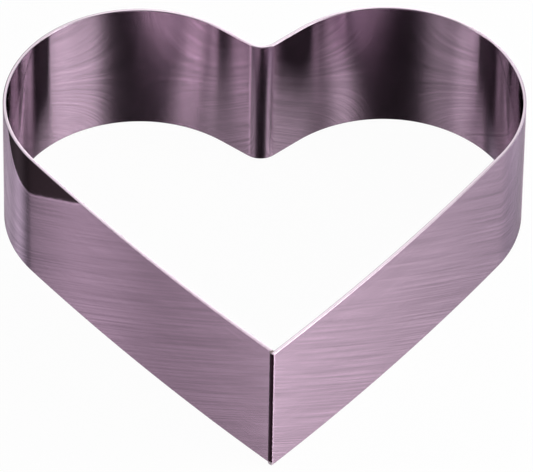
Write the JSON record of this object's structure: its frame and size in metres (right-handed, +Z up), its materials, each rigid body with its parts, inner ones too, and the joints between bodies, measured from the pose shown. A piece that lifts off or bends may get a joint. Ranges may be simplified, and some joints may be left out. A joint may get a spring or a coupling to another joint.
{
  "type": "heart cake ring",
  "caption": "Open-bottomed heart-shaped baking ring bent from one polished steel strip, lapped and welded at the tip, for shaping cakes, mousse and dough.",
  "frame": {"origin": "under the middle of the ring's box, on the surface that it stands on", "axes": "+Z up along the band's height, +X across the two lobes, -Y towards the pointed tip"},
  "size_m": [0.1524, 0.1442, 0.045],
  "materials": {
    "steel_band": "polished to a soft mirror, with a faint haze and a mauve cast",
    "dark_weld": "dark, heat-tinted weld bead with ripples",
    "tack_metal": "brown heat-tinted weld metal, smooth"
  },
  "bodies": {
    "root": {"heart_band": "steel_band", "seam_weld": "dark_weld", "upper_tack": "tack_metal", "lower_tack": "tack_metal"}
  },
  "joints": []
}
